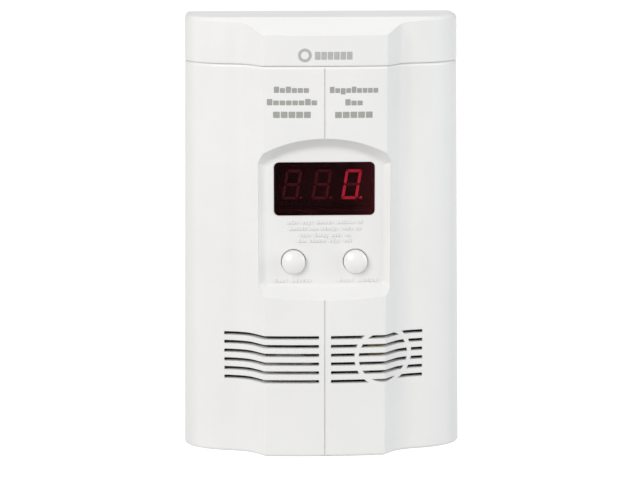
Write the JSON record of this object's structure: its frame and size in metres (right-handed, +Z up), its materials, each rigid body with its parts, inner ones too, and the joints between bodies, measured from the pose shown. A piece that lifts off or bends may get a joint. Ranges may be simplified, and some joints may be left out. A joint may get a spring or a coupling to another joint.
{
  "type": "carbon monoxide detector",
  "caption": "Plug-in carbon monoxide and gas alarm with a digital display, push buttons, a slotted grille and a lift-off battery door.",
  "frame": {"origin": "on the wall plane, midway between the two plug blades", "axes": "+X to the right seen from the room, +Y into the wall along the plug blades, +Z up"},
  "size_m": [0.098, 0.0596, 0.1525],
  "materials": {
    "housing_plastic": "fine satin, moulded",
    "button_plastic": "smooth, moulded",
    "window_tint": "polished, dark red tint",
    "black_plastic": "fine matt",
    "plunger_plastic": "smooth",
    "board_laminate": "solder mask",
    "capacitor_sleeve": "shrink sleeve",
    "resistor_body": "lacquered",
    "ferrite": "sintered",
    "header_plastic": "moulded",
    "sensor_shell": "moulded",
    "sensor_metal": "nickel plated",
    "disc_brass": "bare",
    "gasket_foam": "closed-cell foam",
    "lead_red": "insulation",
    "lead_black": "insulation",
    "battery_jacket": "satin jacket",
    "adapter_plastic": "fine satin, moulded",
    "core_steel": "laminated",
    "coil_tape": "insulating tape",
    "diode_body": "moulded",
    "fuse_glass": "glass with metal caps",
    "screw_steel": "zinc plated",
    "label_paper": "satin foil, blank",
    "print_grey": "printed ink",
    "segment_red": "light-emitting segments behind a diffuser"
  },
  "bodies": {
    "housing": {"front_cover": "housing_plastic", "rear_housing": "housing_plastic", "display_window": "window_tint", "display_shroud": "black_plastic", "display_module": "black_plastic", "test_switch_body": "black_plastic", "peak_switch_body": "black_plastic", "microcontroller": "black_plastic", "amplifier_chips": "black_plastic", "power_socket": "black_plastic", "horn_resonator": "black_plastic", "battery_connector": "black_plastic", "gas_sensor_base": "black_plastic", "main_circuit_board": "board_laminate", "adapter_board": "board_laminate", "electrolytic_capacitors": "capacitor_sleeve", "resistors": "resistor_body", "horn_transformer": "ferrite", "battery_header": "header_plastic", "co_sensor": "sensor_shell", "co_sensor_cap": "sensor_metal", "gas_sensor_can": "sensor_metal", "sensor_pins": "sensor_metal", "battery_terminals": "sensor_metal", "adapter_pins": "sensor_metal", "piezo_disc": "disc_brass", "plug_blades": "disc_brass", "horn_gasket": "gasket_foam", "battery_lead_red": "lead_red", "battery_lead_black": "lead_black", "horn_leads": "lead_black", "battery": "battery_jacket", "adapter_case": "adapter_plastic", "adapter_back": "adapter_plastic", "transformer_core": "core_steel", "transformer_coil": "coil_tape", "adapter_diodes": "diode_body", "adapter_fuse": "fuse_glass", "housing_screws": "screw_steel", "board_screws": "screw_steel", "adapter_screw": "screw_steel", "rating_label": "label_paper"},
    "battery_door": {"battery_door": "housing_plastic"},
    "test_reset_button": {"test_reset_button": "button_plastic", "test_switch_plunger": "plunger_plastic"},
    "peak_level_button": {"peak_level_button": "button_plastic", "peak_switch_plunger": "plunger_plastic"}
  },
  "joints": [
    {"name": "battery_door_lift", "type": "slide", "parent": "housing", "child": "battery_door", "axis": [0, 0, 1], "range_m": [0, 0.03]},
    {"name": "test_reset_press", "type": "slide", "parent": "housing", "child": "test_reset_button", "axis": [0, 1, 0], "range_m": [0, 0.0006], "stiffness_N_per_m": 2500, "springref_m": -0.0004},
    {"name": "peak_level_press", "type": "slide", "parent": "housing", "child": "peak_level_button", "axis": [0, 1, 0], "range_m": [0, 0.0006], "stiffness_N_per_m": 2500, "springref_m": -0.0004}
  ]
}
